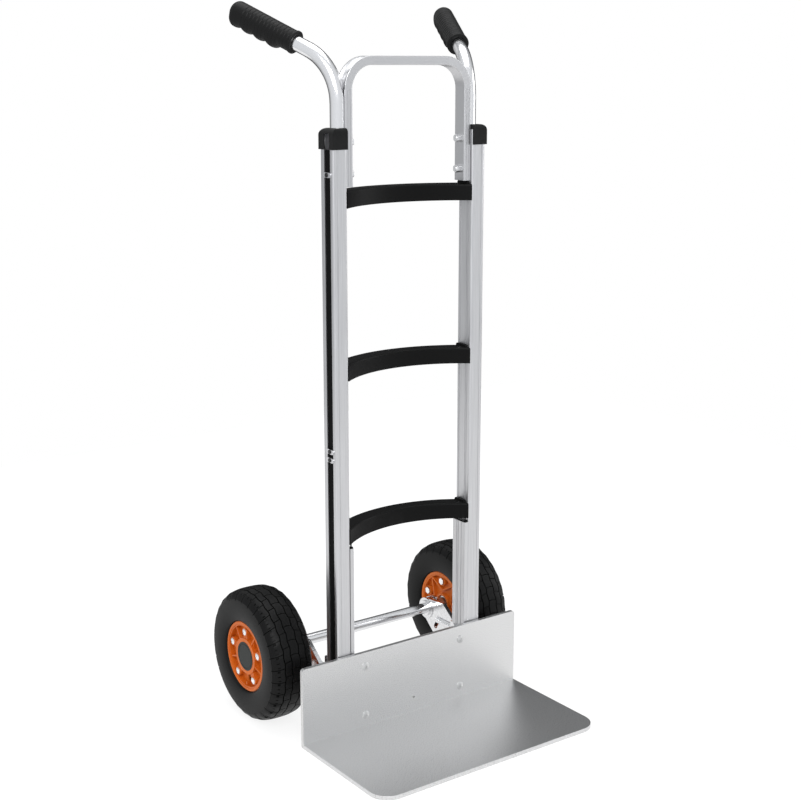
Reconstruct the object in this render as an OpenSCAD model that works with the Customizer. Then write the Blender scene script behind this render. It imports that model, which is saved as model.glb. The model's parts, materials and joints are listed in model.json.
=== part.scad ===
// Two-wheeled hand truck: bent toe plate, slotted rails, bowed rungs, top loop,
// swept handles and pneumatic wheels on split rims.
// Millimetres. X to the right seen from the front, Y to the back, Z up.
// Origin: underside of the toe plate, under its load face, half way across.

/* [Toe plate] */
// Width of the toe plate
toe_w = 511; // [424:1:614]
// Reach of the toe in front of the load face
toe_reach = 256; // [180:1:340]
// Height of the upright back of the toe plate
back_h = 158; // [150:1:220]
// Thickness of the toe plate
plate_t = 8; // [5:0.5:10]
// Corner radius at the front of the toe
toe_corner_r = 38; // [10:1:60]
// Diameter of the small hole in the middle of the back
centre_hole_d = 5; // [3:0.5:12]

/* [Rails] */
// Distance between the inner faces of the rails
rail_gap = 280; // [234:1:340]
// Width of a rail, across the truck
rail_w = 30; // [28:0.5:40]
// Depth of a rail, front to back
rail_d = 40; // [38:0.5:55]
// Wall thickness of a rail
rail_wall = 3; // [2:0.25:4]
// Width of the slot in the outer face of a rail
slot_w = 19; // [15:0.5:22]
// Height of the top of the rails
rail_top = 1130; // [940:1:1360]
// Height of the foot of the rails
rail_foot = 14; // [8:1:20]

/* [Rungs] */
// Height of the underside of the lowest rung
rung_z = 375; // [300:1:450]
// Height of a rung
rung_h = 31; // [26:1:40]
// Thickness of a rung, front to back
rung_t = 32; // [26:1:36]
// How far a rung bows backwards at the middle
rung_bow = 50; // [20:1:70]

/* [Top loop] */
// Width of the loop's bar, across
loop_w = 16; // [14:0.5:20]
// Depth of the loop's bar, front to back
loop_d = 29; // [29:0.5:34]
// Height of the top of the loop above the rails
loop_rise = 132; // [100:1:200]
// Outer corner radius of the loop
loop_r = 58; // [40:1:100]
// How far the ends of the loop reach down past the tops of the rails
loop_lap = 94; // [90:1:110]

/* [Handles] */
// Diameter of a handle tube
tube_d = 27; // [22:0.5:28]
// Wall thickness of a handle tube
tube_wall = 2; // [1.5:0.25:3]
// Length of a tube above the top of its rail, up to the bend
tube_rise = 51; // [20:1:120]
// Radius of the bend
bend_r = 100; // [60:1:140]
// Angle of the bend
bend_angle = 66; // [40:1:80]
// Outward turn of a handle, seen from above
turn_angle = 24; // [0:1:40]
// Straight tube that shows between the bend and the grip
tube_show = 29; // [10:1:60]
// Length of a grip
grip_l = 146; // [110:1:170]
// Diameter of a grip
grip_d = 40; // [36:0.5:44]

/* [Wheels] */
// Diameter of a tyre
tyre_d = 260; // [216:1:314]
// Width of a tyre
tyre_w = 90; // [80:1:108]
// Diameter of a rim over its flanges
rim_d = 138; // [132:1:146]
// Width of a rim over its flanges
rim_w = 77; // [62:1:80]
// Gap between the side of a rail and the side of its tyre
tyre_gap = 24; // [20:1:60]
// Distance of the axle behind the load face
axle_y = 176; // [165:1:210]
// Diameter of the axle
axle_d = 16; // [12:0.5:17]
// Radius of the circle of rim bolts
rim_bolt_r = 50; // [48:0.5:51]

/* [Fits] */
// Radial clearance of the axle in the bearings
run_fit = 0.05; // [0.02:0.01:0.1]
// Gap between parts that slip together
slip_gap = 0.2; // [0.1:0.05:0.4]

/* [Hidden] */
$fn = 48;
eps = 0.01;

// Rails
rail_y = plate_t + 2;
rail_x = rail_gap / 2;
rail_out = rail_x + rail_w;
track = 2 * (rail_out + tyre_gap) + tyre_w;
rail_mid_y = rail_y + rail_d / 2;
slot_y = rail_y + (rail_d - slot_w) / 2 - 1.5;
slot_mid_y = slot_y + slot_w / 2;
rail_front_r = 4;
rail_back_r = 2.5;
face_recess = 1.2;

// Black strip that closes each slot
strip_t = 2.4;
strip_x = rail_out - rail_wall - strip_t + 1;
strip_lip = 2;

// Bolts by size: shank, head diameter, head height, nut width over flats, nut height
m6 = [6, 10, 3.3, 10, 5];
m8 = [8, 13, 3.3, 13, 6.5];
toe_bolt = [8, 16, 3, 13, 6.5];
tall_m8 = [8, 13, 3.3, 13, 8.5];
hole_gap = 0.4;

// Handle tubes, bedded in the outer faces of the loop
loop_foot = rail_top - loop_lap;
loop_top = rail_top + loop_rise;
bed = 7.5;
bed_shift = 1;
tube_x = rail_x - bed + tube_d / 2;
tube_y = slot_mid_y + 1 + bed_shift;
tube_foot = loop_foot + 6;
bend_z = rail_top + tube_rise;
tube_l = tube_show + grip_l - 14;
loop_bolt_z = [loop_foot + 22, loop_foot + 78];

// Top loop
loop_y = tube_y - bed_shift - loop_d / 2;
loop_in_r = loop_r - loop_w;

// Caps on the rails
cap_t = 3;
cap_side_t = 2;
cap_foot = rail_top - 28;
cap_top = rail_top + 9;
cap_r = 12;

// Rungs: the topmost ends just under the loop's ends
rung_half = rail_x;
rung_pitch = (loop_foot - 6 - rung_h - rung_z) / 2;
rung_r = (rung_half * rung_half + rung_bow * rung_bow) / (2 * rung_bow);
rung_cy = rail_y + rung_bow - rung_r;
rung_wall = 4;
rung_end = 16;
rung_bolt_z = [9, rung_h - 9];

// Brackets
axle_z = tyre_d / 2;
foot_t = 6;
foot_w = 42;
foot_z = 14;
foot_h = 132;
cheek_t = 6.5;
pad_t = 7;
web_t = 8;
hub_r = 21;
hub_x = rail_x + 16;
hub_l = 30;
toe_bolt_x = rail_x - 25.5;
toe_bolt_z = [30, 130];
bracket_bolt_z = [48, 108];

// Wheels, in wheel coordinates: +X outwards, middle of the tyre at 0
wheel_x = track / 2;
rim_r = rim_d / 2;
seat_r = rim_r - 5.5;
barrel_t = 3;
web_x = 24;
nut_sink = 6;
web_t2 = 4;
rim_face = rim_w / 2;
bearing_r = 17.5;
bearing_w = 11;
bearing_x = 18;
hub_ring_r = 36;
cap_hole_r = 28.5;
boss_r = 8.5;
rib_t = 3;
valve_w = 9;
axle_bore_r = axle_d / 2 + run_fit;
washer_x = bearing_x + bearing_w + 0.4;
washer_t = 2;
axle_end = washer_x + washer_t + 4;
hub_cap_x = axle_end + 0.6;

// ---------- helpers ----------

// Children as drawn for the right side, or mirrored to the left
module side(s) {
    mirror([s < 0 ? 1 : 0, 0, 0]) children();
}

module both_sides() {
    for (s = [-1, 1]) side(s) children();
}

// Round bar along X from x0 to x1
module bar_x(x0, x1, d) {
    translate([x0, 0, 0]) rotate([0, 90, 0]) cylinder(h = x1 - x0, d = d);
}

// Round bar along Y from y0 to y1
module bar_y(y0, y1, d) {
    translate([0, y1, 0]) rotate([90, 0, 0]) cylinder(h = y1 - y0, d = d);
}

// Hexagonal nut along +Z, with its thread cleared for the bolt
module nut(size) {
    difference() {
        cylinder(h = size[4], d = size[3] / cos(30), $fn = 6);
        translate([0, 0, -1]) cylinder(h = size[4] + 2, d = size[0] + eps);
    }
}

// Button-head bolt: shank along +Z from 0, head below 0
module bolt(size, l) {
    cylinder(h = l, d = size[0]);
    difference() {
        intersection() {
            translate([0, 0, -size[2]]) cylinder(h = size[2], d = size[1]);
            translate([0, 0, size[1] - size[2]]) sphere(r = size[1]);
        }
        translate([0, 0, -size[2] - 1]) cylinder(h = 1 + size[2] / 2, d = size[0] * 0.6, $fn = 6);
    }
}

// Extrusion of a YZ outline along X, from x0 to x1
module plate_x(x0, x1) {
    translate([x0, 0, 0]) rotate([90, 0, 90]) linear_extrude(x1 - x0) children();
}

// Rectangle with its own radius at each corner: near-left, near-right, far-right, far-left
module round_box(w, d, r) {
    at = [[0, 0], [w, 0], [w, d], [0, d]];
    in = [[1, 1], [-1, 1], [-1, -1], [1, -1]];
    difference() {
        square([w, d]);
        for (k = [0:3]) if (r[k] > 0) translate(at[k]) difference() {
            translate([in[k][0] > 0 ? -1 : -r[k], in[k][1] > 0 ? -1 : -r[k]]) square(r[k] + 1);
            translate([in[k][0] * r[k], in[k][1] * r[k]]) circle(r = r[k]);
        }
    }
}

// ---------- toe plate ----------

fold_r = 5;
back_corner_r = 6;

module toe_profile() {
    difference() {
        union() {
            translate([-toe_reach, 0]) square([toe_reach + plate_t, plate_t]);
            square([plate_t, back_h]);
        }
        translate([plate_t - fold_r, fold_r]) difference() {
            translate([0, -fold_r - 1]) square([fold_r + 1, fold_r + 1]);
            circle(r = fold_r);
        }
    }
}

module toe_plate() {
    color("lightgray") difference() {
        intersection() {
            plate_x(-toe_w / 2, toe_w / 2) toe_profile();
            translate([-toe_w / 2, -toe_reach, -1]) linear_extrude(back_h + 2)
                round_box(toe_w, toe_reach + plate_t + 1, [toe_corner_r, toe_corner_r, 0, 0]);
            translate([-toe_w / 2, plate_t + 1, -1]) rotate([90, 0, 0])
                linear_extrude(toe_reach + plate_t + 2)
                round_box(toe_w, back_h + 1, [0, 0, back_corner_r, back_corner_r]);
        }
        both_sides() for (z = toe_bolt_z) translate([toe_bolt_x, 0, z])
            bar_y(-1, plate_t + 1, m8[0] + hole_gap);
        translate([0, 0, 36]) bar_y(-1, plate_t + 1, centre_hole_d);
    }
}

toe_bolt_l = plate_t + foot_t + m8[4] + 2;

module toe_plate_bolts() {
    color("gainsboro") both_sides() for (z = toe_bolt_z) translate([toe_bolt_x, 0, z])
        rotate([-90, 0, 0]) bolt(toe_bolt, toe_bolt_l);
}

module toe_plate_nuts() {
    color("silver") both_sides() for (z = toe_bolt_z)
        translate([toe_bolt_x, plate_t + foot_t, z]) rotate([-90, 0, 0]) nut(m8);
}

// ---------- rails ----------

module rail_profile() {
    difference() {
        round_box(rail_w, rail_d, [rail_front_r, rail_front_r, rail_back_r, rail_back_r]);
        translate([rail_wall, rail_wall]) square([rail_w - 2 * rail_wall, rail_d - 2 * rail_wall]);
        translate([rail_w - rail_wall - 1, slot_y - rail_y]) square([rail_wall + 2, slot_w]);
        // shallow channel and flutes down the inner face
        translate([-1, rail_d * 0.43]) square([1 + face_recess, rail_d * 0.44]);
        for (f = [0.23, 0.33]) translate([-1, rail_d * f]) square([1.7, 1.4]);
        // fine groove down the front face
        translate([rail_w * 0.7, -1]) square([1, 1.6]);
    }
}

module rail(s) {
    color("silver") side(s) difference() {
        translate([rail_x, rail_y, rail_foot]) linear_extrude(rail_top - rail_foot) rail_profile();
        // notch in the inner wall that lets the handle tube bed on the loop
        translate([rail_x - 1, tube_y - tube_d / 2, tube_foot - 1])
            cube([rail_wall + 1 + eps, tube_d, rail_top]);
        for (k = [0:2], z = rung_bolt_z) translate([0, slot_mid_y, rung_z + k * rung_pitch + z])
            bar_x(rail_x - 1, rail_x + rail_wall + 1, m6[0] + hole_gap);
        for (z = bracket_bolt_z) translate([0, rail_mid_y, z])
            bar_x(rail_x - 1, rail_x + rail_wall + 1, m8[0] + hole_gap);
        translate([0, tube_y, loop_bolt_z[0]])
            bar_x(rail_x - 1, rail_x + rail_wall + 1, m8[0] + hole_gap);
    }
}

module slot_strip(s) {
    color([0.04, 0.04, 0.04]) side(s) union() {
        translate([strip_x, slot_y + slip_gap, rail_foot])
            cube([strip_t, slot_w - 2 * slip_gap, cap_foot - rail_foot - 1]);
        // retaining lips behind the edges of the slot
        translate([strip_x, slot_y - strip_lip, rail_foot])
            cube([strip_t - 1 - slip_gap, slot_w + 2 * strip_lip, cap_foot - rail_foot - 1]);
    }
}

clip_z = [loop_bolt_z[0], 540, 556];
clip_w = slot_w + 5;
clip_h = 9;
clip_t = 1.6;
screw_d = 4;
screw_head_d = 8;

module slot_clips() {
    color("white") both_sides() for (z = clip_z) translate([0, slot_mid_y, z]) difference() {
        translate([0, -clip_w / 2, -clip_h / 2]) plate_x(rail_out, rail_out + clip_t)
            round_box(clip_w, clip_h, [4, 4, 4, 4]);
        bar_x(rail_out - 1, rail_out + clip_t + 1, screw_d + hole_gap);
    }
}

module slot_clip_screws() {
    color([0.08, 0.08, 0.08]) both_sides() for (z = clip_z) translate([0, slot_mid_y, z]) {
        bar_x(strip_x + strip_t, rail_out + clip_t, screw_d);
        bar_x(rail_out + clip_t, rail_out + clip_t + 1.4, screw_head_d);
    }
}

// Thin fluted extrusion on the inner face of each rail, held between the bracket's
// cheek and the peg under the lowest rung
liner_t = 8.5;

module rail_liner(s) {
    inset = 0.5;
    d = rail_d - 2 * inset;
    color("silver") side(s)
        translate([rail_x - liner_t, rail_y + inset, foot_z + foot_h])
        linear_extrude(rung_z - 8 - foot_z - foot_h) difference() {
            round_box(liner_t, d, [2, 0, 0, 2]);
            translate([2.2, 2.5]) square([liner_t - 4.2, d - 5]);
            for (f = [0.25, 0.5, 0.62]) translate([-1, d * f]) square([1.8, 2]);
        }
}

// ---------- rungs ----------

module rung_section() {
    difference() {
        translate([rung_r, 0]) round_box(rung_t, rung_h, [0, 0, 3, 4]);
        translate([rung_r + rung_wall, -1])
            square([rung_t - 2 * rung_wall, rung_h - rung_wall + 1]);
    }
}

module rung(k) {
    y_end = sqrt(pow(rung_r + rung_t, 2) - rung_half * rung_half) + rung_cy;
    color([0.08, 0.08, 0.08]) translate([0, 0, rung_z + k * rung_pitch]) difference() {
        union() {
            intersection() {
                translate([0, rung_cy, 0]) rotate_extrude($fn = 96) rung_section();
                translate([-rung_half, rung_cy, -1]) cube([2 * rung_half, rung_r * 2, rung_h + 2]);
            }
            // solid ends, each with a flange that stands above the bar
            both_sides() {
                intersection() {
                    translate([0, rung_cy, 0]) difference() {
                        cylinder(h = rung_h - 1, r = rung_r + rung_t - 1, $fn = 96);
                        translate([0, 0, -1]) cylinder(h = rung_h + 2, r = rung_r + 1, $fn = 96);
                    }
                    translate([rung_half - rung_end, rail_y, 0])
                        cube([rung_end, rung_t * 2, rung_h]);
                }
                translate([0, rail_y + 9, 0]) plate_x(rung_half - 5, rung_half)
                    round_box(y_end - rail_y - 10, rung_h + 5, [1, 1, 4, 4]);
            }
            // small locating peg under each end of the lowest rung
            if (k == 0) both_sides() translate([rung_half - 4.2, rail_y + 4.5, -8]) {
                cylinder(h = 12, d = 3);
                cylinder(h = 2.5, d = 8);
            }
        }
        both_sides() for (z = rung_bolt_z) translate([0, slot_mid_y, z])
            bar_x(rung_half - rung_end - 1, rung_half + 1, m6[0] + eps);
    }
}

module rung_bolts() {
    color("silver") both_sides() for (k = [0:2], z = rung_bolt_z)
        translate([rail_x + rail_wall, slot_mid_y, rung_z + k * rung_pitch + z])
            rotate([0, -90, 0]) bolt(m6, rail_wall + rung_end - 1);
}

// ---------- top loop ----------

// Section of the loop's bar: X from its inner face outwards, Y front to back
module loop_section() {
    difference() {
        round_box(loop_w, loop_d, [2, 1.5, 1.5, 2]);
        translate([loop_w - bed + tube_d / 2, loop_d / 2 + bed_shift])
            circle(d = tube_d + 2 * eps);
        translate([2.5, 3.5]) square([loop_w - bed - 5, loop_d - 7]);
        // two fine grooves along the front face
        for (x = [5, 10]) translate([x, -1]) square([1, 1.6]);
    }
}

module top_loop() {
    straight = rail_x - loop_r;
    color("silver") difference() {
        union() {
            both_sides() {
                translate([rail_x - loop_w, loop_y, loop_foot])
                    linear_extrude(loop_top - loop_r - loop_foot) loop_section();
                translate([straight, loop_y + loop_d, loop_top - loop_r]) rotate([90, 0, 0])
                    rotate_extrude(angle = 90) translate([loop_in_r, 0]) loop_section();
            }
            translate([-straight, loop_y, loop_top - loop_w]) rotate([0, 90, 0])
                linear_extrude(2 * straight) mirror([1, 0]) loop_section();
        }
        // clear of the start of each handle's bend
        both_sides() translate([tube_x, tube_y, 0]) rotate([0, 0, -turn_angle])
            handle_bend(tube_d + bend_full + 2 * slip_gap);
        both_sides() for (z = loop_bolt_z) translate([0, tube_y, z])
            bar_x(rail_x - loop_w - 1, rail_x + 1, m8[0] + hole_gap);
    }
}

module loop_bolts() {
    color("white") both_sides() for (z = loop_bolt_z)
        translate([tube_x + tube_d / 2, tube_y, z]) rotate([0, -90, 0])
            bolt(m8, tube_d - bed + loop_w + tall_m8[4] + 1);
}

module loop_nuts() {
    color("white") both_sides() for (z = loop_bolt_z) translate([rail_x - loop_w, tube_y, z])
        rotate([0, -90, 0]) nut(tall_m8);
}

// ---------- caps, handle tubes and grips ----------

module rail_cap(s) {
    x0 = rail_x;
    x1 = rail_out + cap_side_t;
    y0 = rail_y - cap_t;
    y1 = rail_y + rail_d + cap_t;
    h = cap_top - cap_foot;
    color([0.18, 0.18, 0.18]) side(s) difference() {
        intersection() {
            translate([x0, y1, cap_foot]) rotate([90, 0, 0]) linear_extrude(y1 - y0)
                round_box(x1 - x0, h, [0, 0, cap_r, 0]);
            plate_x(x0, x1) translate([y0, cap_foot])
                round_box(y1 - y0, h, [0, 0, cap_r, 7]);
        }
        // socket for the rail
        translate([rail_x - slip_gap, rail_y - slip_gap, cap_foot - 1])
            cube([rail_w + 2 * slip_gap, rail_d + 2 * slip_gap, rail_top - cap_foot + 1 + slip_gap]);
        translate([tube_x, tube_y, cap_foot]) cylinder(h = h + 2, d = tube_d + 2 * slip_gap);
        // slot over the rail's own slot
        translate([rail_out - 1, slot_y, cap_foot - 1]) cube([cap_t + 2, slot_w - 3, h - 8]);
    }
}

// Children drawn along +Z in the straight of a handle, from the end of the bend
module on_handle(s) {
    side(s) translate([tube_x, tube_y, bend_z]) rotate([0, 0, -turn_angle])
        translate([0, bend_r * (1 - cos(bend_angle)), bend_r * sin(bend_angle)])
        rotate([-bend_angle, 0, 0]) children();
}

// How much fuller the drawn bend is than the straights, so each joint is a clean edge
bend_full = 0.3;

module handle_bend(d) {
    translate([0, bend_r, bend_z]) rotate([90, 0, 90]) rotate([0, 0, 180 - bend_angle])
        rotate_extrude(angle = bend_angle) translate([bend_r, 0]) circle(d = d);
}

// Solid run of a handle: upright, bend and straight, running on by over at each end
module handle_run(d, bend_d, over) {
    translate([0, 0, tube_foot - over]) cylinder(h = bend_z - tube_foot + over, d = d);
    handle_bend(bend_d);
    translate([0, bend_r * (1 - cos(bend_angle)), bend_z + bend_r * sin(bend_angle)])
        rotate([-bend_angle, 0, 0]) cylinder(h = tube_l + over, d = d);
}

module handle_tube(s) {
    bore = tube_d - 2 * tube_wall;
    color("gainsboro") side(s) difference() {
        translate([tube_x, tube_y, 0]) rotate([0, 0, -turn_angle]) difference() {
            handle_run(tube_d, tube_d + bend_full, 0);
            handle_run(bore, bore - bend_full, 1);
        }
        for (z = loop_bolt_z) translate([0, tube_y, z])
            bar_x(tube_x - tube_d, tube_x + tube_d, m8[0] + hole_gap);
    }
}

grip_end_r = 14;
ridge_pitch = 29;
ridge_first = 43;
ridge_drop = 7;
collar_l = 4;

// Outline of the plain grip: a collar, the body and a rounded end
module grip_outline() {
    r = grip_d / 2;
    square([r + 1.2, collar_l]);
    translate([0, collar_l - 1]) square([r, grip_l - grip_end_r - collar_l + 1]);
    translate([0, grip_l - grip_end_r]) square([r - grip_end_r, grip_end_r]);
    intersection() {
        translate([r - grip_end_r, grip_l - grip_end_r]) circle(r = grip_end_r);
        square([r + 1, grip_l]);
    }
}

// One finger ridge, a rounded disc dropped below the grip
module finger_ridge() {
    r = grip_d / 2;
    translate([0, ridge_drop, 0]) rotate_extrude() polygon([
        [0, -12], [r - 7.5, -11], [r - 1.2, -3.5], [r, 0], [r - 0.8, 3], [r - 7.5, 10], [0, 11]]);
}

module grip(s) {
    color([0.13, 0.13, 0.13]) on_handle(s) translate([0, 0, tube_show]) difference() {
        union() {
            rotate_extrude() grip_outline();
            for (k = [0:3]) translate([0, 0, ridge_first + k * ridge_pitch]) finger_ridge();
        }
        translate([0, 0, -1]) cylinder(h = grip_l - 14 + 1 + slip_gap, d = tube_d + eps);
    }
}

// ---------- brackets ----------

// Side view of the web between the rail and the hub: Y and Z
module web_outline() {
    back = rail_y + rail_d;
    union() {
        polygon([[back, foot_z], [back, 103], [axle_y - 56, axle_z + 26],
            [axle_y, axle_z + hub_r], [axle_y, axle_z], [axle_y + 13, axle_z - 15],
            [axle_y - 24, axle_z - 47], [back + 42, foot_z + 14], [back + 20, foot_z]]);
        translate([axle_y, axle_z]) circle(r = hub_r);
    }
}

module bracket(s) {
    x_in = rail_x - cheek_t;
    back = rail_y + rail_d;
    color("gainsboro") side(s) difference() {
        union() {
            // foot behind the toe plate
            translate([rail_x - foot_w, plate_t, foot_z]) cube([foot_w, foot_t, foot_h]);
            // cheek on the rail's inner face, and pad on its back
            difference() {
                translate([x_in, plate_t, foot_z])
                    cube([cheek_t + rail_w, back + pad_t - plate_t, foot_h]);
                translate([rail_x, plate_t - 1, foot_z - 1])
                    cube([rail_w + 1, back - plate_t + 1, foot_h + 2]);
            }
            plate_x(rail_out - web_t, rail_out) web_outline();
            // stepped hub with three ridges, and a round rib on the inner side of the web
            translate([0, axle_y, axle_z]) {
                bar_x(hub_x, hub_x + hub_l, 2 * hub_r - 9);
                for (x = [3.5, 16, 24]) bar_x(hub_x + x, hub_x + x + 4, 2 * hub_r + 2);
            }
            translate([rail_out - web_t, 0, axle_z - 14]) bar_y(back, axle_y - 40, 14);
            // foot gussets
            for (z = [foot_z, foot_z + foot_h - 6]) translate([0, 0, z]) linear_extrude(6)
                polygon([[x_in - 20, plate_t + foot_t - 1], [x_in + 1, plate_t + foot_t - 1],
                    [x_in + 1, back]]);
        }
        translate([0, axle_y, axle_z]) bar_x(hub_x - 1, hub_x + hub_l + 1, axle_d + 2 * run_fit);
        // slanted oval opening in the web
        translate([0, axle_y - 35, axle_z - 26]) rotate([30, 0, 0]) {
            for (z = [-6, 6]) translate([0, 0, z]) bar_x(rail_out - web_t - 8, rail_out + 1, 10);
            translate([rail_out - web_t - 8, -5, -6]) cube([web_t + 9, 10, 12]);
        }
        for (z = toe_bolt_z) translate([toe_bolt_x, 0, z])
            bar_y(plate_t - 1, plate_t + foot_t + 1, m8[0] + hole_gap);
        for (z = bracket_bolt_z) translate([0, rail_mid_y, z])
            bar_x(x_in - 1, rail_x + 1, m8[0] + hole_gap);
    }
}

module bracket_bolts() {
    color("silver") both_sides() for (z = bracket_bolt_z)
        translate([rail_x - cheek_t, rail_mid_y, z]) rotate([0, 90, 0])
            bolt(m8, cheek_t + rail_wall + m8[4] + 2);
}

module bracket_nuts() {
    color("silver") both_sides() for (z = bracket_bolt_z)
        translate([rail_x + rail_wall, rail_mid_y, z]) rotate([0, 90, 0]) nut(m8);
}

// ---------- axle ----------

// Children drawn about the axle line
module on_axle() {
    translate([0, axle_y, axle_z]) children();
}

module axle() {
    color("gainsboro") on_axle() bar_x(-wheel_x - axle_end, wheel_x + axle_end, axle_d);
}

sleeve_d = 22;

// Tube from x0 to x1 that the axle passes through
module axle_tube(x0, x1, d) {
    difference() {
        bar_x(x0, x1, d);
        bar_x(x0 - 1, x1 + 1, axle_d + 2 * run_fit);
    }
}

module axle_sleeve() {
    color("white") on_axle() axle_tube(-hub_x, hub_x, sleeve_d);
}

spacer_end = wheel_x - washer_x - washer_t;

module wheel_spacer(s) {
    color("silver") on_axle() side(s) axle_tube(hub_x + hub_l, spacer_end, sleeve_d + 4);
}

module axle_washers() {
    color("silver") on_axle() both_sides() {
        axle_tube(spacer_end, spacer_end + washer_t, 30);
        axle_tube(wheel_x + washer_x, wheel_x + washer_x + washer_t, 30);
    }
}

module axle_clips() {
    color("gray") on_axle() both_sides()
        axle_tube(wheel_x + washer_x + washer_t, wheel_x + washer_x + washer_t + 1.5, 24);
}

// ---------- wheels ----------

// Children drawn about X, outwards along +X, placed at a wheel
module on_wheel(s) {
    side(s) translate([wheel_x, axle_y, axle_z]) children();
}

// Turned shape about X: children are outlines with Y outwards along X and X as the radius
module turned() {
    rotate([0, 90, 0]) rotate_extrude($fn = 96) children();
}

// Superellipse point, for the shoulders of a tyre: the lower the power, the squarer
square_off = 0.66;

function shoulder(a, w, h) = [sign(sin(a)) * h * pow(abs(sin(a)), square_off),
    sign(cos(a)) * w * pow(abs(cos(a)), square_off)];

function tyre_side(from, w, up, down, mid) = [for (a = [from:6:90])
    [mid, 0] + shoulder(a, w, a > 0 ? up : down)];

// Bead on its seat, and the lip that folds out over the rim's flange
function bead() = [[seat_r + eps, rim_face - 6], [rim_r - 1.2, rim_face - 5.4],
    [rim_r + 0.4, rim_face - 3.6], [rim_r + 0.8, rim_face + 0.6], [rim_r + 3, rim_face + 2.8]];

function flip(side) = [for (k = [len(side) - 1:-1:0]) [side[k][0], -side[k][1]]];

tyre_mid = (tyre_d / 2 + seat_r) / 2;
tyre_wall = 8;
tread_t = 10;

module tyre_outline() {
    up = tyre_d / 2 - tyre_mid;
    down = tyre_mid - seat_r;
    outer = concat(bead(), tyre_side(-30, tyre_w / 2, up, down, tyre_mid));
    inner = concat([[seat_r - 1, rim_face - 16]],
        tyre_side(-66, tyre_w / 2 - tyre_wall, up - tread_t, down, tyre_mid));
    difference() {
        polygon(concat(outer, flip(outer)));
        polygon(concat(inner, flip(inner)));
        // the tread's main grooves
        for (x = [-25, -9, 9, 25]) translate([tyre_d / 2 - (abs(x) > 20 ? 4.5 : 3), x - 1.25])
            square([10, 2.5]);
    }
}

module tyre(s) {
    color([0.13, 0.13, 0.13]) on_wheel(s) turned() tyre_outline();
}

// Round of the inner tube, blown up against the barrel and the tread
module tube_round(wall) {
    r = (tyre_d / 2 - tread_t - seat_r) / 2 - 0.1;
    turned() translate([seat_r + 0.1 + r, 0]) circle(r = r - wall);
}

module inner_tube(s) {
    color([0.2, 0.2, 0.2]) on_wheel(s) difference() {
        tube_round(0);
        tube_round(2);
    }
}

// Places children at each rim bolt: the first straight up, then every 72 degrees
module rim_bolt_places() {
    for (k = [0:4]) rotate([72 * k, 0, 0]) translate([0, 0, rim_bolt_r]) children();
}

// Half of the barrel with its flange, from the joint at 0 out to the face
module rim_barrel() {
    turned() {
        translate([seat_r - barrel_t, 0]) square([barrel_t, rim_face - 1]);
        translate([seat_r - barrel_t, rim_face - 5]) square([rim_r - seat_r + barrel_t - 1, 4]);
        translate([seat_r - 1.5, rim_face - 3.5]) square([rim_r - seat_r + 1.5, 2.5]);
        translate([seat_r, rim_face - 2]) square([rim_r - seat_r - 1, 2]);
    }
}

module rim_hub(x1) {
    turned() {
        translate([axle_bore_r + 5, 0]) square([bearing_r - axle_bore_r, bearing_x]);
        translate([bearing_r, bearing_x - 3]) square([4, x1 - bearing_x + 3]);
    }
}

module rim_outer(s) {
    depth = rim_face - web_x;
    color([0.85, 0.35, 0.1]) on_wheel(s) difference() {
        union() {
            rim_barrel();
            rim_hub(web_x + web_t2);
            turned() {
                translate([bearing_r, web_x]) square([seat_r - bearing_r - 1, web_t2]);
                translate([cap_hole_r, web_x + 1]) square([hub_ring_r - cap_hole_r, depth - 2]);
            }
            // bolt bosses, with arms to the hub ring
            rim_bolt_places() {
                bar_x(0, rim_face - 1.5, 2 * boss_r);
                translate([web_x + 1, -7, hub_ring_r - rim_bolt_r - 3])
                    cube([depth - 3.5, 14, rim_bolt_r - hub_ring_r]);
            }
            // ribs between the bosses, broad at the hub
            for (k = [0:4]) rotate([72 * k + 36, 0, 0]) {
                translate([web_x + 1, -rib_t / 2, hub_ring_r - 2])
                    cube([depth - 3.5, rib_t, seat_r - hub_ring_r]);
                translate([web_x + 1, 0, hub_ring_r - 3]) rotate([0, 90, 0]) rotate([0, 0, 90])
                    linear_extrude(depth - 6) polygon([[-9, 0], [9, 0], [0, 16]]);
            }
        }
        rim_bolt_places() bar_x(-1, rim_face, m8[0] + hole_gap);
        // opening for the valve, straight down
        translate([web_x - 1, -valve_w / 2 - 1, -rim_bolt_r - 3])
            cube([depth + 2, valve_w + 2, rim_bolt_r + 4 - hub_ring_r]);
        translate([valve_x, 0, -seat_r]) cylinder(h = 12, d = valve_w + 1, center = true);
    }
}

valve_x = 12;

module rim_inner(s) {
    depth = rim_face - web_x;
    color([0.75, 0.3, 0.08]) on_wheel(s) difference() {
        mirror([1, 0, 0]) union() {
            rim_barrel();
            rim_hub(rim_face - 3);
            turned() translate([bearing_r, web_x]) square([seat_r - bearing_r - 1, web_t2]);
            rim_bolt_places() bar_x(0, rim_face - 2, 2 * boss_r + 3);
            // pairs of slanting ribs that meet at the rim
            for (k = [0:4], t = [-1, 1]) rotate([72 * k + 36, 0, 0])
                translate([web_x + 1, 0, seat_r - 2]) rotate([t * 24, 0, 0])
                translate([0, -rib_t / 2, -42]) cube([depth - 4, rib_t, 42]);
        }
        // the bore that keeps the slanting ribs out of the bearing
        bar_x(-rim_face - 1, -bearing_x, 2 * bearing_r);
        rim_bolt_places() {
            bar_x(-rim_face, 1, m8[0] + hole_gap);
            bar_x(-rim_face - 1, -rim_face + nut_sink, 16.4);
        }
    }
}

module rim_bolts(s) {
    color("white") on_wheel(s) rim_bolt_places() translate([rim_face - 1.5, 0, 0])
        rotate([0, -90, 0]) bolt(m8, 2 * rim_face - 1.5 - nut_sink + m8[4]);
}

module rim_nuts(s) {
    color("white") on_wheel(s) rim_bolt_places() translate([-rim_face + nut_sink, 0, 0])
        rotate([0, -90, 0]) nut(m8);
}

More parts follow.
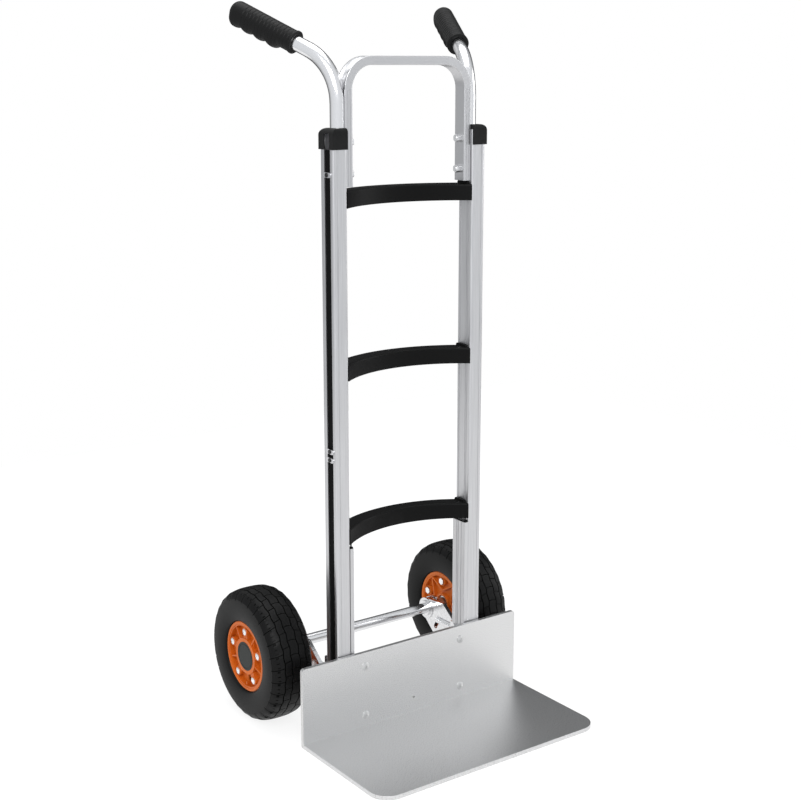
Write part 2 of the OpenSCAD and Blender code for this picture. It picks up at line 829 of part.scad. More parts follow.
// Valve with its cap, pointing at the axle from the barrel
module valve(s) {
    color([0.1, 0.1, 0.1]) on_wheel(s) difference() {
        translate([valve_x, 0, 0]) {
            translate([0, 0, -seat_r - 6]) cylinder(h = 17, d = valve_w - 1);
            translate([0, 0, -seat_r + 11 - eps]) cylinder(h = 8, d = 6);
        }
        tube_round(0);
    }
}

// Two sealed ball bearings, each drawn as one ring with recessed seals
module bearings(s) {
    color("silver") on_wheel(s) for (m = [0, 1]) mirror([m, 0, 0]) turned()
        translate([axle_bore_r, bearing_x]) difference() {
            square([bearing_r - axle_bore_r, bearing_w]);
            for (x = [-1, bearing_w - 0.8]) translate([2.8, x])
                square([bearing_r - axle_bore_r - 5.6, 1.8]);
        }
}

module bearing_spacer(s) {
    color("gray") on_wheel(s) axle_tube(-bearing_x, bearing_x, axle_d + 6);
}

module hub_cap(s) {
    color([0.12, 0.12, 0.12]) on_wheel(s) turned() difference() {
        union() {
            translate([0, hub_cap_x]) square([cap_hole_r, 2]);
            translate([cap_hole_r - 2.5, web_x + web_t2])
                square([2.5, hub_cap_x - web_x - web_t2 + 1]);
        }
        translate([cap_hole_r - 5, hub_cap_x + 1.3]) square([1.2, 2]);
    }
}

// ---------- the truck ----------

toe_plate();
toe_plate_bolts();
toe_plate_nuts();
rail(-1);  // left_rail
rail(1);  // right_rail
rail_liner(-1);  // left_rail_liner
rail_liner(1);  // right_rail_liner
slot_strip(-1);  // left_slot_strip
slot_strip(1);  // right_slot_strip
slot_clips();
slot_clip_screws();
rung(0);  // lower_rung
rung(1);  // middle_rung
rung(2);  // upper_rung
rung_bolts();
top_loop();
loop_bolts();
loop_nuts();
rail_cap(-1);  // left_rail_cap
rail_cap(1);  // right_rail_cap
handle_tube(-1);  // left_handle_tube
handle_tube(1);  // right_handle_tube
grip(-1);  // left_grip
grip(1);  // right_grip
bracket(-1);  // left_bracket
bracket(1);  // right_bracket
bracket_bolts();
bracket_nuts();
axle();
axle_sleeve();
wheel_spacer(-1);  // left_wheel_spacer
wheel_spacer(1);  // right_wheel_spacer
axle_washers();
axle_clips();
tyre(-1);  // left_tyre
inner_tube(-1);  // left_inner_tube
rim_outer(-1);  // left_rim_outer
rim_inner(-1);  // left_rim_inner
rim_bolts(-1);  // left_rim_bolts
rim_nuts(-1);  // left_rim_nuts
valve(-1);  // left_valve
bearings(-1);  // left_bearings
bearing_spacer(-1);  // left_bearing_spacer
hub_cap(-1);  // left_hub_cap
tyre(1);  // right_tyre
inner_tube(1);  // right_inner_tube
rim_outer(1);  // right_rim_outer
rim_inner(1);  // right_rim_inner
rim_bolts(1);  // right_rim_bolts
rim_nuts(1);  // right_rim_nuts
valve(1);  // right_valve
bearings(1);  // right_bearings
bearing_spacer(1);  // right_bearing_spacer
hub_cap(1);  // right_hub_cap
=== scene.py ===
"""Looks of a two-wheeled hand truck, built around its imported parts."""

import json
import math

import bmesh
import bpy
from mathutils import Matrix, Vector


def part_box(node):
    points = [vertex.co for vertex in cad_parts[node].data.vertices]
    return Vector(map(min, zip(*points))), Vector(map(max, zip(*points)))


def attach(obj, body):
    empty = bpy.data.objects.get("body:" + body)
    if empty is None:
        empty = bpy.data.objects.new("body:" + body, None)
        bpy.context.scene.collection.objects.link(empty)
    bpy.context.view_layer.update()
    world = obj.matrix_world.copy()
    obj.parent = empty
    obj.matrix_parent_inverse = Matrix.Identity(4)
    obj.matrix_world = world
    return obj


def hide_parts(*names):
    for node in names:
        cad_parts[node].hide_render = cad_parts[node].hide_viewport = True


MM = 0.001

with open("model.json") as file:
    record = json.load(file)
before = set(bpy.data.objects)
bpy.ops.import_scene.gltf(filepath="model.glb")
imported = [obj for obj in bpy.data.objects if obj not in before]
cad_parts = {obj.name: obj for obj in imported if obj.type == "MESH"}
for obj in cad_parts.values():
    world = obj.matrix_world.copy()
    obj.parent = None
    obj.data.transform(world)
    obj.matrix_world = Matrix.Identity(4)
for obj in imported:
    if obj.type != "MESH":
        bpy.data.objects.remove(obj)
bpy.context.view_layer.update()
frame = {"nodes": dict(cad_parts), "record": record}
nodes = frame["nodes"]
slot_of = {s["node"]: s["material_slot"] for s in frame["record"]["subparts"]}
body_of = {n: b for b, members in frame["record"]["behaviour"]["bodies"].items() for n in members}


# ---------- camera ----------

def set_camera():
    """The camera: a 64 mm lens, above the truck's middle, in front and to its left."""
    data = bpy.data.cameras.new("camera")
    data.sensor_fit = "HORIZONTAL"
    data.sensor_width = 36
    data.lens = 64.27
    data.clip_end = 200
    camera = bpy.data.objects.new("camera", data)
    camera.location = (-1.5442, -2.0991, 1.2433)
    camera.rotation_euler = (math.radians(90 - 13.126), 0, math.radians(-35.765))
    bpy.context.scene.collection.objects.link(camera)
    bpy.context.scene.camera = camera


# ---------- shader groups ----------

def new_group(name, inputs, outputs):
    """An empty shader group with sockets: inputs and outputs are (name, kind, default)."""
    group = bpy.data.node_groups.new(name, "ShaderNodeTree")
    for label, kind, default in inputs:
        socket = group.interface.new_socket(name=label, in_out="INPUT", socket_type=kind)
        if default is not None:
            socket.default_value = default
    for label, kind, _ in outputs:
        group.interface.new_socket(name=label, in_out="OUTPUT", socket_type=kind)
    return group, group.nodes.new("NodeGroupInput"), group.nodes.new("NodeGroupOutput")


def grain_group():
    """Even grain, as on cast, blasted and moulded faces."""
    group, come, go = new_group(
        "grain",
        [("Vector", "NodeSocketVector", None), ("Scale", "NodeSocketFloat", 500.0),
         ("Detail", "NodeSocketFloat", 3.0)],
        [("Mask", "NodeSocketFloat", None)])
    noise = group.nodes.new("ShaderNodeTexNoise")
    spread = group.nodes.new("ShaderNodeMapRange")
    spread.inputs["From Min"].default_value = 0.32
    spread.inputs["From Max"].default_value = 0.68
    link = group.links.new
    link(come.outputs["Vector"], noise.inputs["Vector"])
    link(come.outputs["Scale"], noise.inputs["Scale"])
    link(come.outputs["Detail"], noise.inputs["Detail"])
    link(noise.outputs["Fac"], spread.inputs["Value"])
    link(spread.outputs["Result"], go.inputs["Mask"])
    return group


def drawn_lines_group():
    """Fine lines that run along one axis, as on extruded and drawn metal."""
    group, come, go = new_group(
        "drawn_lines",
        [("Vector", "NodeSocketVector", None), ("Squeeze", "NodeSocketVector", (1.0, 1.0, 0.01)),
         ("Scale", "NodeSocketFloat", 900.0)],
        [("Mask", "NodeSocketFloat", None)])
    squeeze = group.nodes.new("ShaderNodeVectorMath")
    squeeze.operation = "MULTIPLY"
    noise = group.nodes.new("ShaderNodeTexNoise")
    noise.inputs["Detail"].default_value = 2.0
    spread = group.nodes.new("ShaderNodeMapRange")
    spread.inputs["From Min"].default_value = 0.3
    spread.inputs["From Max"].default_value = 0.7
    link = group.links.new
    link(come.outputs["Vector"], squeeze.inputs[0])
    link(come.outputs["Squeeze"], squeeze.inputs[1])
    link(squeeze.outputs["Vector"], noise.inputs["Vector"])
    link(come.outputs["Scale"], noise.inputs["Scale"])
    link(noise.outputs["Fac"], spread.inputs["Value"])
    link(spread.outputs["Result"], go.inputs["Mask"])
    return group


def edge_highlight_and_wear_group():
    """Where convex edges are painted lighter: a painted edge highlight that also stands for wear by
    use.
    """
    group, come, go = new_group(
        "painted_edge_highlight_and_wear",
        [("Vector", "NodeSocketVector", None), ("Amount", "NodeSocketFloat", 0.5)],
        [("Mask", "NodeSocketFloat", None)])
    shape = group.nodes.new("ShaderNodeNewGeometry")
    spread = group.nodes.new("ShaderNodeMapRange")
    spread.inputs["From Min"].default_value = 0.51
    spread.inputs["From Max"].default_value = 0.6
    noise = group.nodes.new("ShaderNodeTexNoise")
    noise.inputs["Scale"].default_value = 140.0
    broken = group.nodes.new("ShaderNodeMath")
    broken.operation = "MULTIPLY"
    amount = group.nodes.new("ShaderNodeMath")
    amount.operation = "MULTIPLY"
    link = group.links.new
    link(come.outputs["Vector"], noise.inputs["Vector"])
    link(shape.outputs["Pointiness"], spread.inputs["Value"])
    link(spread.outputs["Result"], broken.inputs[0])
    link(noise.outputs["Fac"], broken.inputs[1])
    link(broken.outputs["Value"], amount.inputs[0])
    link(come.outputs["Amount"], amount.inputs[1])
    link(amount.outputs["Value"], go.inputs["Mask"])
    return group


GRAIN = grain_group()
LINES = drawn_lines_group()
EDGE_HIGHLIGHT_AND_WEAR = edge_highlight_and_wear_group()


# ---------- finishes ----------

def use_group(tree, group, coords, **values):
    """A copy of a group in a material, fed with coordinates and its own values."""
    node = tree.nodes.new("ShaderNodeGroup")
    node.node_tree = group
    tree.links.new(coords, node.inputs["Vector"])
    for label, value in values.items():
        node.inputs[label].default_value = value
    return node.outputs["Mask"]


def mix_colour(tree, mask, first, second):
    """Colour from first to second as mask goes from 0 to 1; either may be a socket."""
    mix = tree.nodes.new("ShaderNodeMix")
    mix.data_type = "RGBA"
    tree.links.new(mask, mix.inputs["Factor"])
    for socket, colour in ((mix.inputs[6], first), (mix.inputs[7], second)):
        if isinstance(colour, bpy.types.NodeSocket):
            tree.links.new(colour, socket)
        else:
            socket.default_value = (*colour, 1.0)
    return mix.outputs[2]


def finish(name, colour, second, rough, metallic=0.0, grain=None, lines=None, lit_worn_edges=None,
           bump=0.05, depth=0.0002, clouds=None, **plain):
    """A material. colour to second and the pair rough follow the grain or the drawn lines.

    grain is (scale, detail), lines (squeeze, scale), clouds (scale, darker colour) and
    the lit, worn edges (amount, lighter colour), a painted edge highlight that also stands for wear.
    plain sets other sockets of the shader.
    """
    material = bpy.data.materials.new(name)
    material.use_nodes = True
    tree = material.node_tree
    shader = tree.nodes["Principled BSDF"]
    shader.inputs["Metallic"].default_value = metallic
    for label, value in plain.items():
        shader.inputs[label.replace("_", " ")].default_value = value
    coords = tree.nodes.new("ShaderNodeTexCoord").outputs["Object"]
    if lines:
        mask = use_group(tree, LINES, coords, Squeeze=lines[0], Scale=lines[1])
    else:
        mask = use_group(tree, GRAIN, coords, Scale=grain[0], Detail=grain[1])
    base = mix_colour(tree, mask, colour, second)
    if clouds:
        cloud = use_group(tree, GRAIN, coords, Scale=clouds[0], Detail=2.0)
        base = mix_colour(tree, cloud, base, clouds[1])
    # painted edge highlight, also standing for wear: a lighter colour on convex edges
    if lit_worn_edges:
        lit_worn_mask = use_group(tree, EDGE_HIGHLIGHT_AND_WEAR, coords, Amount=lit_worn_edges[0])
        base = mix_colour(tree, lit_worn_mask, base, lit_worn_edges[1])
    tree.links.new(base, shader.inputs["Base Color"])
    spread = tree.nodes.new("ShaderNodeMapRange")
    spread.inputs["To Min"].default_value = rough[0]
    spread.inputs["To Max"].default_value = rough[1]
    tree.links.new(mask, spread.inputs["Value"])
    tree.links.new(spread.outputs["Result"], shader.inputs["Roughness"])
    relief = tree.nodes.new("ShaderNodeBump")
    relief.inputs["Strength"].default_value = bump
    relief.inputs["Distance"].default_value = depth
    tree.links.new(mask, relief.inputs["Height"])
    tree.links.new(relief.outputs["Normal"], shader.inputs["Normal"])
    return material


UPRIGHT = (1.0, 1.0, 0.012)
ACROSS = (0.012, 1.0, 1.0)

FINISHES = {
    "toe_plate_aluminium": finish(
        "satin_plate", (0.52, 0.52, 0.52), (0.80, 0.80, 0.80), (0.26, 0.38), 1.0,
        grain=(620.0, 5.0), bump=0.4, depth=0.0004),
    "rail_aluminium": finish(
        "extruded_rail", (0.52, 0.52, 0.53), (0.62, 0.62, 0.63), (0.32, 0.42), 1.0,
        lines=(UPRIGHT, 700.0), bump=0.04),
    "loop_aluminium": finish(
        "extruded_loop", (0.54, 0.54, 0.55), (0.58, 0.58, 0.59), (0.30, 0.36), 1.0,
        grain=(900.0, 2.0), bump=0.02),
    "tube_aluminium": finish(
        "polished_tube", (0.76, 0.76, 0.77), (0.80, 0.80, 0.81), (0.14, 0.18), 1.0,
        grain=(700.0, 2.0), bump=0.01),
    "cast_aluminium": finish(
        "bright_casting", (0.64, 0.64, 0.65), (0.78, 0.78, 0.79), (0.10, 0.2), 1.0,
        grain=(300.0, 3.0), bump=0.15, depth=0.0003),
    "bright_steel": finish(
        "bright_zinc", (0.76, 0.76, 0.77), (0.88, 0.88, 0.88), (0.14, 0.24), 1.0,
        grain=(600.0, 2.0), bump=0.03),
    "zinc_steel": finish(
        "zinc_plate", (0.58, 0.58, 0.60), (0.70, 0.70, 0.71), (0.24, 0.36), 1.0,
        grain=(700.0, 3.0), bump=0.04),
    "axle_steel": finish(
        "ground_steel", (0.60, 0.60, 0.62), (0.70, 0.70, 0.72), (0.2, 0.3), 1.0,
        lines=(ACROSS, 900.0), bump=0.04),
    "black_steel": finish(
        "black_oxide", (0.006, 0.006, 0.006), (0.012, 0.012, 0.012), (0.3, 0.45), 0.0,
        grain=(800.0, 2.0), bump=0.03, Specular_IOR_Level=0.3),
    "black_strip": finish(
        "slot_strip", (0.001, 0.001, 0.001), (0.002, 0.002, 0.002), (0.6, 0.75), 0.0,
        lines=(UPRIGHT, 500.0), bump=0.02, Specular_IOR_Level=0.08),
    # rungs, caps, grips, tyres and rims below get a lighter colour on convex edges: a painted edge
    # highlight, also standing for wear
    "rung_black": finish(
        "rung_moulding", (0.002, 0.002, 0.002), (0.004, 0.004, 0.004), (0.38, 0.5), 0.0,
        grain=(900.0, 3.0), bump=0.08, lit_worn_edges=(0.3, (0.02, 0.02, 0.02)),
        Specular_IOR_Level=0.09),
    "cap_black": finish(
        "cap_moulding", (0.003, 0.003, 0.003), (0.006, 0.006, 0.006), (0.3, 0.42), 0.0,
        grain=(900.0, 3.0), bump=0.08, lit_worn_edges=(0.3, (0.02, 0.02, 0.02)),
        Specular_IOR_Level=0.15),
    "grip_black": finish(
        "grip_rubber", (0.003, 0.003, 0.003), (0.006, 0.006, 0.006), (0.38, 0.52), 0.0,
        grain=(1100.0, 3.0), bump=0.08, lit_worn_edges=(0.2, (0.02, 0.02, 0.02)),
        Specular_IOR_Level=0.16),
    "tyre_rubber": finish(
        "tyre_rubber", (0.002, 0.002, 0.002), (0.004, 0.004, 0.004), (0.36, 0.5), 0.0,
        grain=(700.0, 4.0), bump=0.12, lit_worn_edges=(0.25, (0.02, 0.02, 0.02)),
        Specular_IOR_Level=0.13),
    "inner_tube_rubber": finish(
        "inner_tube_rubber", (0.02, 0.02, 0.02), (0.03, 0.03, 0.03), (0.5, 0.6), 0.0,
        grain=(500.0, 2.0)),
    "valve_rubber": finish(
        "valve_rubber", (0.006, 0.006, 0.006), (0.010, 0.010, 0.010), (0.4, 0.5), 0.0,
        grain=(900.0, 2.0), Specular_IOR_Level=0.3),
    "rim_orange": finish(
        "rim_moulding", (0.52, 0.105, 0.006), (0.60, 0.125, 0.009), (0.38, 0.5), 0.0,
        grain=(500.0, 3.0), bump=0.05, clouds=(25.0, (0.48, 0.092, 0.006)),
        lit_worn_edges=(0.3, (0.85, 0.25, 0.04)), Specular_IOR_Level=0.25),
    "hub_cap_black": finish(
        "hub_cap_moulding", (0.008, 0.010, 0.009), (0.014, 0.017, 0.015), (0.45, 0.6), 0.0,
        grain=(900.0, 3.0), bump=0.05, Specular_IOR_Level=0.3),
}

PLATE_BOLTS = finish("satin_zinc", (0.52, 0.52, 0.52), (0.62, 0.62, 0.62), (0.36, 0.46), 1.0,
                     grain=(700.0, 3.0), bump=0.04)


# ---------- pieces ----------

def add_piece(name, bm, slot, body, *replaced):
    """Turns a bmesh into a piece that rides on a body and stands for CAD nodes."""
    mesh = bpy.data.meshes.new(name)
    bm.to_mesh(mesh)
    bm.free()
    piece = bpy.data.objects.new(name, mesh)
    bpy.context.scene.collection.objects.link(piece)
    mesh.materials.append(FINISHES[slot])
    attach(piece, body)
    if replaced:
        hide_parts(*replaced)
    return piece


def shade(bm, sharp=32.0):
    """Smooth faces, with edges sharper than the angle kept crisp."""
    for face in bm.faces:
        face.smooth = True
    limit = math.radians(sharp)
    for edge in bm.edges:
        edge.smooth = len(edge.link_faces) == 2 and edge.calc_face_angle(0.0) < limit


def soften(node, width=0.5, steps=2, sharp=32.0):
    """A finished copy of a CAD node, with its sharp edges broken by a small round."""
    bm = bmesh.new()
    bm.from_mesh(nodes[node].data)
    bmesh.ops.remove_doubles(bm, verts=bm.verts, dist=0.002 * MM)
    if width:
        bmesh.ops.dissolve_limit(bm, angle_limit=math.radians(1.0), verts=bm.verts,
                                 edges=bm.edges, use_dissolve_boundaries=False)
        limit = math.radians(sharp)
        edges = [e for e in bm.edges if len(e.link_faces) == 2 and e.calc_face_angle(0.0) > limit]
        bmesh.ops.bevel(bm, geom=edges, offset=width * MM, offset_type="OFFSET", segments=steps,
                        profile=0.5, affect="EDGES", clamp_overlap=True, material=-1)
    shade(bm, sharp)
    piece = add_piece(node + "_finished", bm, slot_of[node], body_of[node], node)
    flatten = piece.modifiers.new("flatten", "WEIGHTED_NORMAL")
    flatten.weight = 100
    flatten.keep_sharp = True
    return piece


# ---------- tyres ----------

PITCHES = 30
SQUARE_OFF = 0.66
GROOVE_DEPTH = 4.2
CUT_DEPTH = {"centre": 3.2, "rib": 3.2, "shoulder": 4.6, "dash": 2.6}
ZIGZAG_REACH = 1.1
SLANT = 0.35
TREAD_EDGE = 43.2
SWAY_FADE = 9.0
BEAD_RADIUS = 63.6
LEDGE_NOTCH = 2.6


def tyre_profile(half_width, top, bead):
    """Half of the tyre's outline from the crown out to the bead: (x, radius, row name)."""
    mid = (top + bead) / 2
    rise = top - mid

    def crown(x):
        flat = 1 - (x / half_width) ** (2 / SQUARE_OFF)
        return mid + rise * flat ** (SQUARE_OFF / 2)

    rows = []
    for x, name in [(0.0, "centre"), (4.0, "centre"), (8.1, "centre"), (8.5, "groove"),
                    (9.9, "groove"), (10.3, "rib"), (14.0, "rib"), (18.0, "rib"), (22.6, "rib"),
                    (23.0, "groove"), (24.4, "groove"), (24.8, "shoulder"), (28.5, "shoulder"),
                    (32.4, "shoulder"), (32.9, "dash"), (36.4, "dash"), (36.9, "shoulder"),
                    (39.6, "shoulder"), (41.8, "shoulder"), (TREAD_EDGE, "shoulder")]:
        rows.append((x, crown(x), name))
    for x, radius, name in [(44.0, 113.0, "ledge"), (44.2, 111.0, "ledge"), (44.4, 109.6, "wall"),
                            (44.8, 104.0, "wall"), (44.95, 99.0, "wall"), (44.9, 94.0, "wall"),
                            (44.6, 89.0, "wall"), (44.1, 84.0, "wall"), (43.4, 79.5, "wall"),
                            (42.6, 76.0, "wall"), (41.9, 73.6, "lip"), (41.2, 71.8, "lip"),
                            (40.0, 70.4, "lip"), (38.2, 69.8, "lip"), (35.2, 69.4, "seat"),
                            (33.3, 67.4, "seat"), (32.5, bead, "seat")]:
        rows.append((x, radius, name))
    return rows


# Where each pitch of the tread has its cuts: (share of the pitch, which cut)
CUTS = [(0.0, None), (0.012, "centre"), (0.05, "centre"), (0.062, None), (0.19, None),
        (0.2, "dash"), (0.25, "dash"), (0.26, None), (0.34, None), (0.352, "rib"), (0.39, "rib"),
        (0.402, None), (0.52, None), (0.53, "dash"), (0.58, "dash"), (0.59, None), (0.68, None),
        (0.69, "shoulder"), (0.73, "shoulder"), (0.74, None), (0.86, "dash"), (0.91, "dash"),
        (0.92, None)]
TREAD_ROWS = ("centre", "groove", "rib", "shoulder", "dash")


def treaded_tyre(side):
    """A pneumatic tyre with zigzag grooves, cross cuts and a bead lip over the rim."""
    node = ("left" if side < 0 else "right") + "_tyre"
    low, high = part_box(node)
    centre = (low + high) / 2
    top = (high.z - low.z) / 2 / MM
    half_width = (high.x - low.x) / 2 / MM
    half = tyre_profile(half_width, top, BEAD_RADIUS)
    rows = half[::-1] + [(-x, r, n) for x, r, n in half[1:]]
    bm = bmesh.new()
    row_layer = bm.verts.layers.int.new("row")
    chain = [bm.verts.new((x * MM, 0, r * MM)) for x, r, _ in rows]
    for k, v in enumerate(chain):
        v[row_layer] = k
    links = [bm.edges.new(pair) for pair in zip(chain, chain[1:] + chain[:1])]
    steps = PITCHES * len(CUTS)
    bmesh.ops.spin(bm, geom=chain + links, cent=(0, 0, 0), axis=(1, 0, 0), dvec=(0, 0, 0),
                   angle=math.tau, steps=steps, use_merge=True, use_duplicate=False)
    for v in bm.verts:
        x, radius, name = rows[v[row_layer]]
        step = round(math.atan2(-v.co.y, v.co.z) / math.tau * steps) % steps
        pitch, k = divmod(step, len(CUTS))
        share, cut = CUTS[k]
        depth = 0.0
        sway = 0.0
        out = 1 if x > 0 else -1
        if name in TREAD_ROWS:
            fade = min(1.0, (TREAD_EDGE - abs(x)) / SWAY_FADE)
            sway = ZIGZAG_REACH * (4 * abs(share - 0.5) - 1) * fade
            if name == "groove":
                depth = GROOVE_DEPTH
            elif cut == name or (cut == "shoulder" and name == "dash"):
                depth = CUT_DEPTH[cut]
        elif name == "ledge" and cut == "shoulder":
            depth = LEDGE_NOTCH
        angle = (pitch + share + SLANT * min(1.0, abs(x) / TREAD_EDGE)) / PITCHES * math.tau
        slope = min(1.0, (abs(x) / half_width) ** 3)
        radius -= depth * (1 - 0.55 * slope)
        x -= out * depth * 0.75 * slope
        v.co = ((x + sway) * MM, -math.sin(angle) * radius * MM, math.cos(angle) * radius * MM)
    if side < 0:
        bmesh.ops.scale(bm, vec=(-1, 1, 1), verts=bm.verts)
    bmesh.ops.translate(bm, vec=centre, verts=bm.verts)
    bmesh.ops.recalc_face_normals(bm, faces=bm.faces)
    shade(bm, 38.0)
    add_piece(node + "_treaded", bm, "tyre_rubber", body_of[node], node)


# ---------- grips ----------

BEND_RADIUS = 100 * MM
BEND_ANGLE = math.radians(66)
TURN_ANGLE = math.radians(24)
BEND_ABOVE_RAIL = 51 * MM
TUBE_SHOW = 29 * MM
GRIP_RADIUS = 20.0
GRIP_LENGTH = 146.0
TUBE_RADIUS = 13.5
FIRST_FINGER = 43.0
FINGER_PITCH = 29.0
FINGER_RISE = 6.8
FINGERS = 4
GRIP_END = 14.0
RING_DEPTH = 0.7
RING_PITCH = 8.0
RINGS_START = 6.0


def grip_place():
    """Where the right grip's own axes lie: Z along it from the collar, Y to its underside."""
    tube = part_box("right_handle_tube")[0]
    radius = TUBE_RADIUS * MM
    start = Vector((tube.x + radius, tube.y + radius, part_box("right_rail")[1].z + BEND_ABOVE_RAIL))
    along = BEND_RADIUS * Vector((0, 1 - math.cos(BEND_ANGLE), math.sin(BEND_ANGLE)))
    return (Matrix.Translation(start) @ Matrix.Rotation(-TURN_ANGLE, 4, "Z")
            @ Matrix.Translation(along) @ Matrix.Rotation(-BEND_ANGLE, 4, "X")
            @ Matrix.Translation((0, 0, TUBE_SHOW)))


def grip_outline():
    """The grip from the tube's mouth to the middle of its round end: (radius, height)."""
    outline = [(TUBE_RADIUS + 0.1, 3.0), (TUBE_RADIUS + 0.1, 0.6), (TUBE_RADIUS + 0.8, 0.0),
               (GRIP_RADIUS + 0.4, 0.0), (GRIP_RADIUS + 1.1, 0.7), (GRIP_RADIUS + 1.1, 3.4),
               (GRIP_RADIUS + 0.6, 4.2), (GRIP_RADIUS - 0.3, 4.6)]
    height = RINGS_START
    while height < GRIP_LENGTH - GRIP_END - 1:
        in_ring = (height - RINGS_START) % RING_PITCH < 1.5 and height < 0.78 * GRIP_LENGTH
        ring = RING_DEPTH if in_ring else 0.0
        outline.append((GRIP_RADIUS - 0.15 - ring, height))
        height += 1.25
    for k in range(13):
        a = math.radians(7.5 * k)
        outline.append((GRIP_RADIUS - 0.15 - GRIP_END * (1 - math.cos(a)),
                        GRIP_LENGTH - GRIP_END * (1 - math.sin(a))))
    outline.append((0.0, GRIP_LENGTH))
    return outline


def finger_rise(height):
    """How far the underside stands proud at a height along the grip."""
    rise = 0.0
    for k in range(FINGERS):
        away = (height - FIRST_FINGER - k * FINGER_PITCH) / (FINGER_PITCH / 2)
        if abs(away) < 1:
            rise = max(rise, FINGER_RISE * (1 - away * away) ** 0.6)
    return rise


def finger_grip(side):
    """A moulded grip: collar, fine rings, finger ridges below and a round end."""
    node = ("left" if side < 0 else "right") + "_grip"
    bm = bmesh.new()
    chain = [bm.verts.new((r * MM, 0, h * MM)) for r, h in grip_outline()]
    links = [bm.edges.new(pair) for pair in zip(chain, chain[1:])]
    bmesh.ops.spin(bm, geom=chain + links, cent=(0, 0, 0), axis=(0, 0, 1), dvec=(0, 0, 0),
                   angle=math.tau, steps=72, use_merge=True, use_duplicate=False)
    bmesh.ops.remove_doubles(bm, verts=bm.verts, dist=0.01 * MM)
    for v in bm.verts:
        radius = math.hypot(v.co.x, v.co.y)
        if radius < 0.8 * GRIP_RADIUS * MM or v.co.z < 5 * MM:
            continue
        below = v.co.y / radius
        if below > -0.2:
            share = min(1.0, (below + 0.2) / 1.0)
            v.co.y += finger_rise(v.co.z / MM) * MM * share * share * (3 - 2 * share)
    bmesh.ops.transform(bm, matrix=grip_place(), verts=bm.verts)
    if side < 0:
        bmesh.ops.scale(bm, vec=(-1, 1, 1), verts=bm.verts)
    bmesh.ops.recalc_face_normals(bm, faces=bm.faces)
    shade(bm, 50.0)
    add_piece(node + "_moulded", bm, "grip_black", body_of[node], node)


# ---------- floor and light ----------

def make_floor():
    """A small white floor that glows enough to meet the white behind it."""
    bm = bmesh.new()
    bmesh.ops.create_grid(bm, x_segments=2, y_segments=2, size=2.2)
    mesh = bpy.data.meshes.new("floor")
    bm.to_mesh(mesh)
    bm.free()
    floor = bpy.data.objects.new("floor", mesh)
    bpy.context.scene.collection.objects.link(floor)
    material = bpy.data.materials.new("studio_floor")
    material.use_nodes = True
    shader = material.node_tree.nodes["Principled BSDF"]
    shader.inputs["Base Color"].default_value = (0.18, 0.18, 0.18, 1)
    shader.inputs["Emission Color"].default_value = (1, 1, 1, 1)
    shader.inputs["Emission Strength"].default_value = 0.85
    shader.inputs["Roughness"].default_value = 0.9
    shader.inputs["Specular IOR Level"].default_value = 0.1
    mesh.materials.append(material)


def add_light(name, place, aim, width, height, watts):
    """A rectangular lamp at a place, turned to its aim."""
    data = bpy.data.lights.new(name, "AREA")
    data.shape = "RECTANGLE"
    data.size = width
    data.size_y = height
    data.energy = watts
    lamp = bpy.data.objects.new(name, data)
    lamp.location = place
    lamp.rotation_euler = (Vector(aim) - Vector(place)).to_track_quat("-Z", "Y").to_euler()
    lamp.visible_camera = False
    bpy.context.scene.collection.objects.link(lamp)


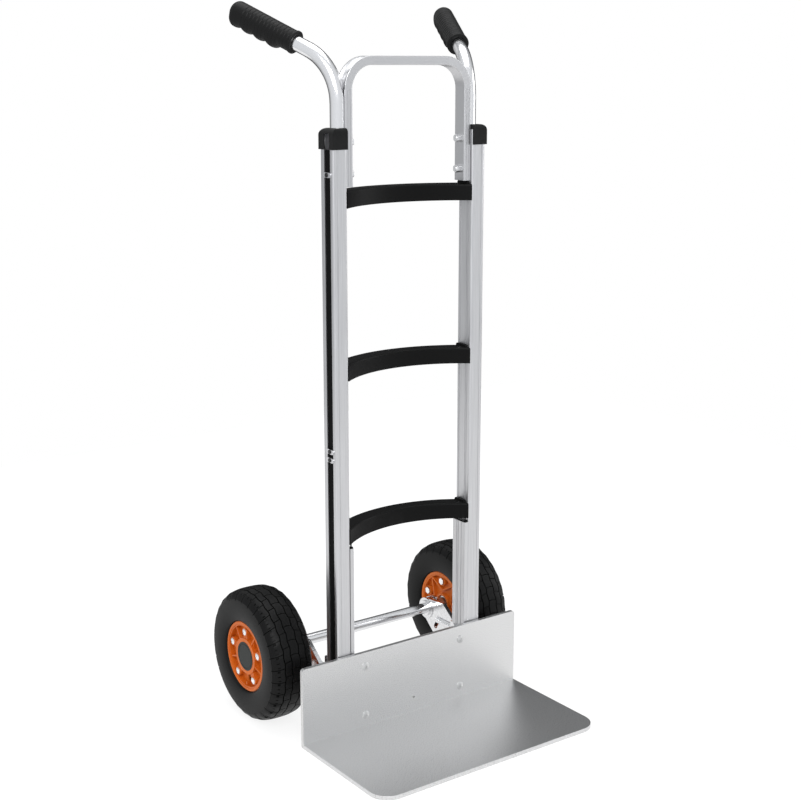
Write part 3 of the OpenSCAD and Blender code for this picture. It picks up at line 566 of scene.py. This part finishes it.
def make_light():
    """White behind the truck, its surroundings for mirroring, and four lamps."""
    world = bpy.data.worlds.new("studio")
    bpy.context.scene.world = world
    world.use_nodes = True
    tree = world.node_tree
    back = tree.nodes["Background"]
    back.inputs["Color"].default_value = (1, 1, 1, 1)
    back.inputs["Strength"].default_value = 1.0
    # what the truck mirrors: bright from the camera's side, dark low down behind it
    around = tree.nodes.new("ShaderNodeTexCoord").outputs["Generated"]
    behind = tree.nodes.new("ShaderNodeVectorMath")
    behind.operation = "DOT_PRODUCT"
    behind.inputs[1].default_value = (0.585, 0.811, -0.2)
    tree.links.new(around, behind.inputs[0])
    ramp = tree.nodes.new("ShaderNodeValToRGB")
    ramp.color_ramp.elements[0].position = 0.0
    ramp.color_ramp.elements[0].color = (0.95, 0.97, 1.0, 1)
    ramp.color_ramp.elements[1].position = 0.98
    ramp.color_ramp.elements[1].color = (0.03, 0.03, 0.035, 1)
    for place, level in ((0.45, 0.9), (0.62, 0.7), (0.80, 0.40), (0.9, 0.08)):
        ramp.color_ramp.elements.new(place).color = (level * 0.96, level * 0.98, level, 1)
    spread = tree.nodes.new("ShaderNodeMapRange")
    spread.inputs["From Min"].default_value = -1.0
    tree.links.new(behind.outputs["Value"], spread.inputs["Value"])
    tree.links.new(spread.outputs["Result"], ramp.inputs["Fac"])
    dim = tree.nodes.new("ShaderNodeBackground")
    dim.inputs["Strength"].default_value = 0.95
    tree.links.new(ramp.outputs["Color"], dim.inputs["Color"])
    path = tree.nodes.new("ShaderNodeLightPath")
    mix = tree.nodes.new("ShaderNodeMixShader")
    tree.links.new(path.outputs["Is Camera Ray"], mix.inputs["Fac"])
    tree.links.new(dim.outputs["Background"], mix.inputs[1])
    tree.links.new(back.outputs["Background"], mix.inputs[2])
    tree.links.new(mix.outputs["Shader"], tree.nodes["World Output"].inputs["Surface"])
    add_light("key", (-2.2, -2.6, 3.0), (0, 0, 0.6), 2.2, 2.2, 95)
    add_light("fill", (3.2, -1.2, 1.6), (0, 0, 0.6), 1.6, 2.4, 30)
    add_light("top", (0.2, 0.4, 4.0), (0, 0, 0), 3.0, 3.0, 60)
    add_light("rear", (0.5, 3.2, 2.2), (0, 0, 0.7), 2.4, 2.0, 6)


# ---------- the truck ----------

def dress():
    """Gives every CAD node its finish, then stands finished pieces in for what is seen."""
    for node, piece in nodes.items():
        piece.data.materials.clear()
        piece.data.materials.append(FINISHES[slot_of[node]])
    soften("toe_plate", 0.8, 3)
    for side in ("left_", "right_"):
        soften(side + "rail", 0.4)
        soften(side + "rail_liner", 0.3)
        soften(side + "rail_cap", 0.8, 3)
        soften(side + "bracket", 1.0, 3)
        soften(side + "rim_outer", 0.6)
        soften(side + "rim_inner", 0.6)
        soften(side + "hub_cap", 0.4)
        soften(side + "handle_tube", 0)
        soften(side + "rim_bolts", 0)
        soften(side + "rim_nuts", 0.3)
        soften(side + "wheel_spacer", 0)
        soften(side + "slot_strip", 0)
    for node in ("lower_rung", "middle_rung", "upper_rung"):
        soften(node, 0.8, 3)
    soften("top_loop", 0.3)
    for node in ("axle_sleeve", "loop_bolts", "slot_clip_screws"):
        soften(node, 0)
    soften("toe_plate_bolts", 0).data.materials[0] = PLATE_BOLTS
    for node in ("loop_nuts", "toe_plate_nuts", "slot_clips"):
        soften(node, 0.3)
    for side in (-1, 1):
        treaded_tyre(side)
        finger_grip(side)


set_camera()
dress()
make_floor()
make_light()
scene = bpy.context.scene
scene.view_settings.view_transform = "Standard"
scene.view_settings.look = "None"
